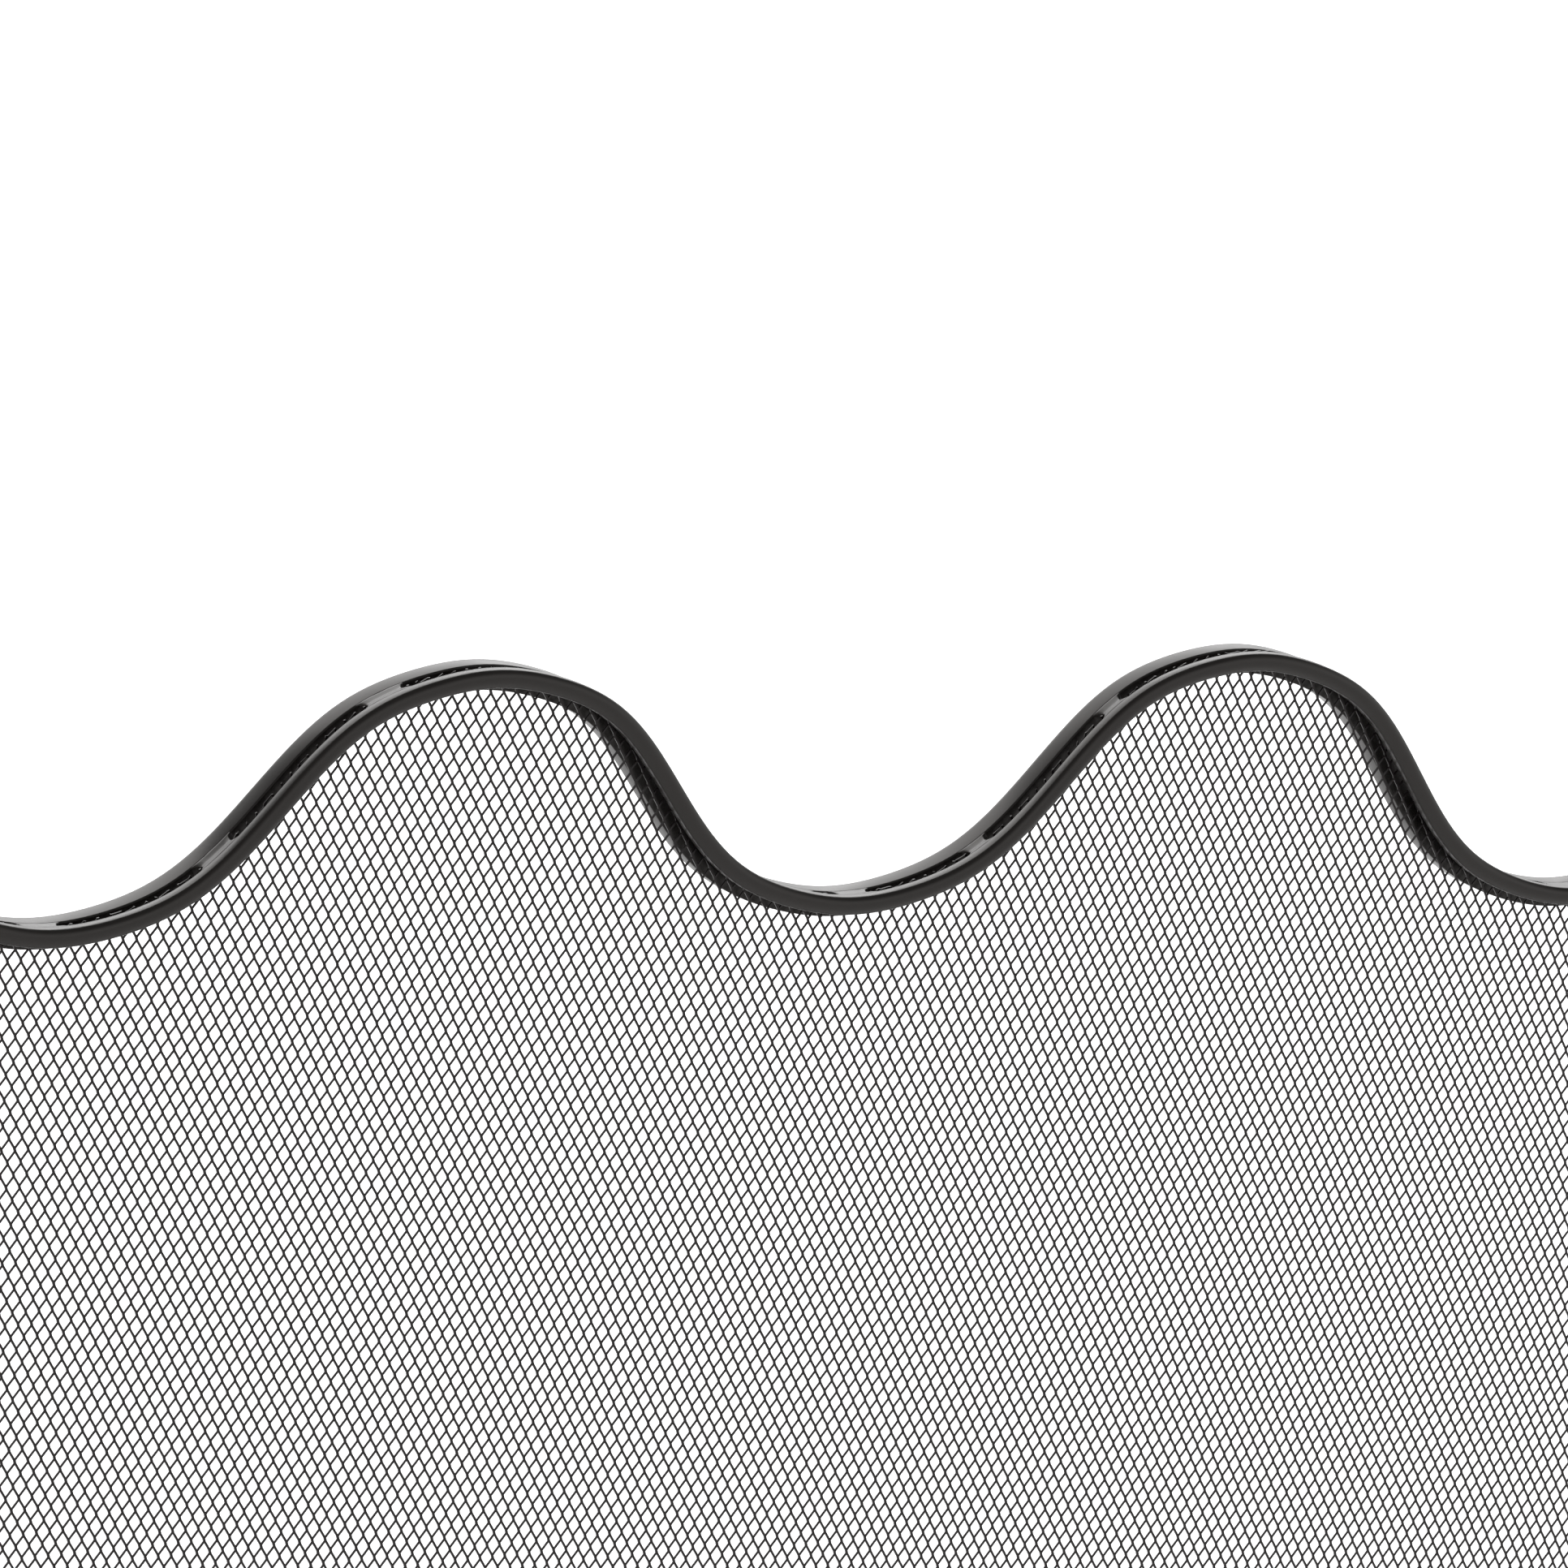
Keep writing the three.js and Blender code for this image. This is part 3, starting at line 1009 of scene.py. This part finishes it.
def build_feet():
    for side in ("left", "right"):
        build_foot(side)
        for number in (1, 2):
            build_screw(side, number)
        for end in ("front", "rear"):
            build_pad(side, end)


# ---- camera, floor and lights ----

CAMERA_TARGET = Vector((-27.4, -2.4, 754.2)) * MM
CAMERA_TURN = math.radians(37.2)
CAMERA_RISE = math.radians(13.4)
CAMERA_TILT = math.radians(8.92)
CAMERA_DISTANCE = 2.665
CAMERA_LENS = 232.9


def set_camera():
    forward = Vector((
        math.sin(CAMERA_TURN) * math.cos(CAMERA_RISE),
        math.cos(CAMERA_TURN) * math.cos(CAMERA_RISE),
        -math.sin(CAMERA_RISE),
    ))
    data = bpy.data.cameras.new("camera")
    data.lens = CAMERA_LENS
    data.sensor_width = 36.0
    data.clip_end = 100.0
    camera = bpy.data.objects.new("camera", data)
    camera.location = CAMERA_TARGET - forward * CAMERA_DISTANCE
    camera.rotation_mode = "QUATERNION"
    level = forward.to_track_quat("-Z", "Y")
    camera.rotation_quaternion = level @ Quaternion((0, 0, 1), CAMERA_TILT)
    bpy.context.scene.collection.objects.link(camera)
    bpy.context.scene.camera = camera


FLOOR_GLOW = 0.32


def lay_floor():
    bpy.ops.object.select_all(action="DESELECT")
    bpy.ops.mesh.primitive_plane_add(size=40, location=(0, 0, 0))
    floor = bpy.context.object
    floor.name = "studio_floor"
    material, nodes, shader = start_material("studio_floor")
    place = nodes.add("ShaderNodeTexCoord").outputs["Object"]
    tone = nodes.add("ShaderNodeTexNoise", {"Vector": place, "Scale": 2.0, "Detail": 3.0})
    colour = blend_colours(
        nodes, tone.outputs["Fac"], (0.90, 0.90, 0.90, 1.0), (0.93, 0.93, 0.93, 1.0)
    )
    material.node_tree.links.new(colour, shader.inputs["Base Color"])
    shader.inputs["Roughness"].default_value = 0.7
    shader.inputs["Emission Color"].default_value = (1.0, 1.0, 1.0, 1.0)
    shader.inputs["Emission Strength"].default_value = FLOOR_GLOW
    floor.data.materials.append(material)


def soft_light(name, place, aim, size, power):
    data = bpy.data.lights.new(name, "AREA")
    data.shape = "RECTANGLE"
    data.size = size[0]
    data.size_y = size[1]
    data.energy = power
    light = bpy.data.objects.new(name, data)
    light.location = place
    light.rotation_mode = "QUATERNION"
    light.rotation_quaternion = (Vector(aim) - Vector(place)).to_track_quat("-Z", "Y")
    bpy.context.scene.collection.objects.link(light)


WALL_STRENGTH = 0.95
BACK_WALL_EXTRA = 0.55
CEILING_STRENGTH = 0.2
BACKDROP_STRENGTH = 1.05
SOFT_BOX_PLACE = (1.9, 3.5, 2.5)
SOFT_BOX_AIM = (1.9, 3.5, 0.0)
SOFT_BOX_SIZE = (5.6, 5.0)
SOFT_BOX_POWER = 190


def light_studio():
    """White walls all round, a dim ceiling and one wide soft box high up behind the screen."""
    world = bpy.data.worlds.new("studio")
    world.use_nodes = True
    nodes = Nodes(world.node_tree)
    way = nodes.add("ShaderNodeTexCoord").outputs["Generated"]
    split = nodes.add("ShaderNodeSeparateXYZ", {"Vector": way})
    walls = nodes.add(
        "ShaderNodeMapRange",
        {
            "Value": split.outputs["Z"],
            "From Min": 0.18,
            "From Max": 0.55,
            "To Min": 1.0,
            "To Max": 0.0,
        },
        interpolation_type="SMOOTHSTEP",
    )
    behind = nodes.add(
        "ShaderNodeMapRange",
        {
            "Value": split.outputs["Y"],
            "From Min": 0.0,
            "From Max": 0.8,
            "To Min": WALL_STRENGTH,
            "To Max": WALL_STRENGTH + BACK_WALL_EXTRA,
        },
    )
    round_about = nodes.add(
        "ShaderNodeMix",
        {"Factor": walls.outputs["Result"], "A": CEILING_STRENGTH, "B": behind.outputs["Result"]},
    )
    seen = nodes.add("ShaderNodeLightPath").outputs["Is Camera Ray"]
    strength = nodes.add(
        "ShaderNodeMix",
        {"Factor": seen, "A": round_about.outputs["Result"], "B": BACKDROP_STRENGTH},
    )
    backdrop = world.node_tree.nodes["Background"]
    backdrop.inputs["Color"].default_value = (1.0, 1.0, 1.0, 1.0)
    world.node_tree.links.new(strength.outputs["Result"], backdrop.inputs["Strength"])
    bpy.context.scene.world = world
    bpy.context.scene.view_settings.view_transform = "Standard"
    soft_light("soft_box", SOFT_BOX_PLACE, SOFT_BOX_AIM, SOFT_BOX_SIZE, SOFT_BOX_POWER)


guide_line = draw_wave_line()
build_frame(guide_line)
build_welds(guide_line)
discard(guide_line)
build_mesh()
build_feet()
set_camera()
lay_floor()
light_studio()
